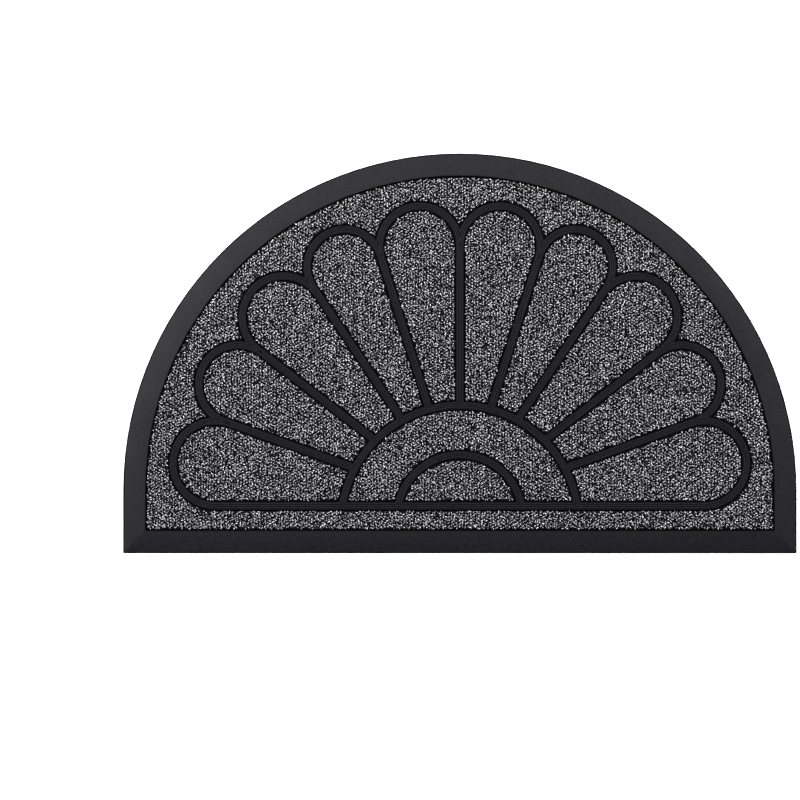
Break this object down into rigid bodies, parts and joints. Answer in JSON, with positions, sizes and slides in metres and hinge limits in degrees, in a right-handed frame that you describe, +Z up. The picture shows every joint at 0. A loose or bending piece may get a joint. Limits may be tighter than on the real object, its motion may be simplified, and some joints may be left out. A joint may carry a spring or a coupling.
{
  "type": "half-round rubber and pile doormat",
  "caption": "Half-round doormat: moulded rubber base with a sloping border and a fan of raised ribs, and heather pile in the fields between them.",
  "frame": {"origin": "centre of the mat's bounding box, on the surface that it lies on", "axes": "+X along the straight edge, +Y from the straight edge to the round edge, +Z up through the pile"},
  "size_m": [0.75, 0.4454, 0.0072],
  "materials": {
    "rubber": "matt black moulded rubber with a faint grain",
    "pile": "short curled pile in heather grey and black"
  },
  "bodies": {
    "root": {"rubber_base": "rubber", "pile_petal_01": "pile", "pile_petal_02": "pile", "pile_petal_03": "pile", "pile_petal_04": "pile", "pile_petal_05": "pile", "pile_petal_06": "pile", "pile_petal_07": "pile", "pile_petal_08": "pile", "pile_petal_09": "pile", "pile_petal_10": "pile", "pile_hub_band": "pile", "pile_hub": "pile", "pile_surround": "pile"}
  },
  "joints": []
}
